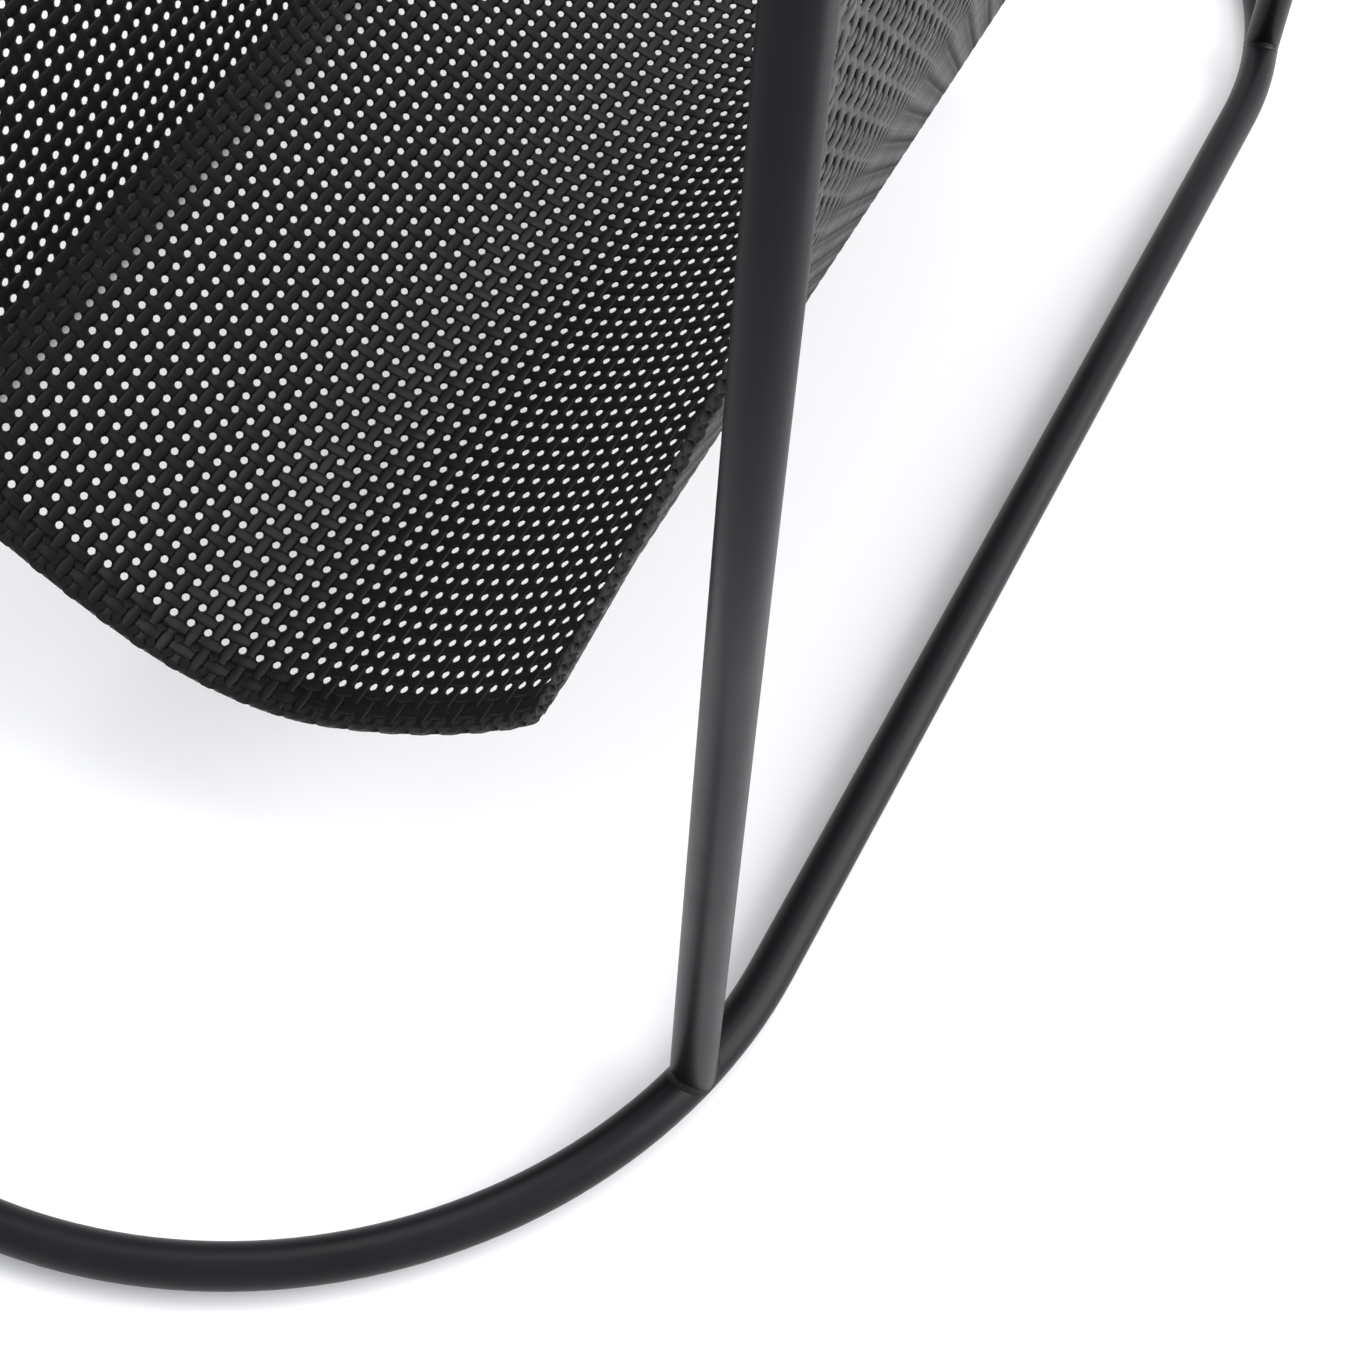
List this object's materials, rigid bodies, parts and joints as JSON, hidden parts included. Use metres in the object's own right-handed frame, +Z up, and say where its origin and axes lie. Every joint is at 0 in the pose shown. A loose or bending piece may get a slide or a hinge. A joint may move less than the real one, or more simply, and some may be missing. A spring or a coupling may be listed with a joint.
{
  "type": "magazine holder",
  "caption": "Free-standing magazine holder: a welded round-rod frame with stadium-shaped rings carries an open U-shaped trough of woven mesh.",
  "frame": {"origin": "centre of the footprint on the floor, under the floor glides", "axes": "+Z up; +Y along the trough and the long sides of the rings; +X to the right, across the trough"},
  "size_m": [0.2162, 0.464, 0.3121],
  "materials": {
    "powder_coat": "satin black powder coat on bent and welded steel rod",
    "vinyl_mesh": "black vinyl-coated polyester yarn in an open plain weave, satin",
    "nylon": "moulded black nylon"
  },
  "bodies": {
    "root": {"base_ring": "powder_coat", "top_ring": "powder_coat", "upright_front_left": "powder_coat", "upright_front_right": "powder_coat", "upright_back_left": "powder_coat", "upright_back_right": "powder_coat", "sling": "vinyl_mesh", "hem_front": "vinyl_mesh", "hem_back": "vinyl_mesh", "sleeve_left": "vinyl_mesh", "sleeve_right": "vinyl_mesh", "glide_left": "nylon", "glide_right": "nylon", "glide_front": "nylon", "glide_back": "nylon"}
  },
  "joints": []
}
